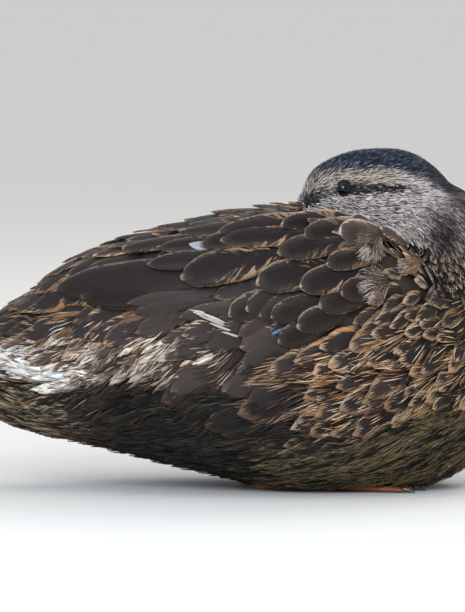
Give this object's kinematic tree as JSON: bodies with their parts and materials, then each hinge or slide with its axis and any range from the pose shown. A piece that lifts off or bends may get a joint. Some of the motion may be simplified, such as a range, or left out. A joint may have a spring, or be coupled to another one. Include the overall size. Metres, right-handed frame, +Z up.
{
  "type": "resting female mallard duck",
  "caption": "Life-size still model of a female mallard duck resting on its belly with its head turned back and its bill tucked into its back feathers.",
  "frame": {"origin": "on the floor, in the middle of the box round the whole bird", "axes": "+X forwards along the body, from tail to breast; +Y to the bird's left; +Z up from the floor"},
  "size_m": [0.35, 0.182, 0.1935],
  "materials": {
    "plumage": "brown feathers with buff edges",
    "head_plumage": "short streaked buff and dark brown feathers",
    "flight": "sleek dark brown wing and tail feathers",
    "bill": "dull orange horn with a dark brown saddle",
    "eye": "wet dark brown",
    "foot": "scaled orange skin",
    "claw": "dark horn"
  },
  "bodies": {
    "root": {"trunk": "plumage", "neck": "head_plumage", "head": "head_plumage", "bill_upper": "bill", "bill_lower": "bill", "tail": "flight", "wing_left": "flight", "wing_right": "flight", "eye_left": "eye", "eye_right": "eye", "leg_left": "foot", "leg_right": "foot", "claw_left_inner": "claw", "claw_left_middle": "claw", "claw_left_outer": "claw", "claw_left_hind": "claw", "claw_right_inner": "claw", "claw_right_middle": "claw", "claw_right_outer": "claw", "claw_right_hind": "claw"}
  },
  "joints": []
}
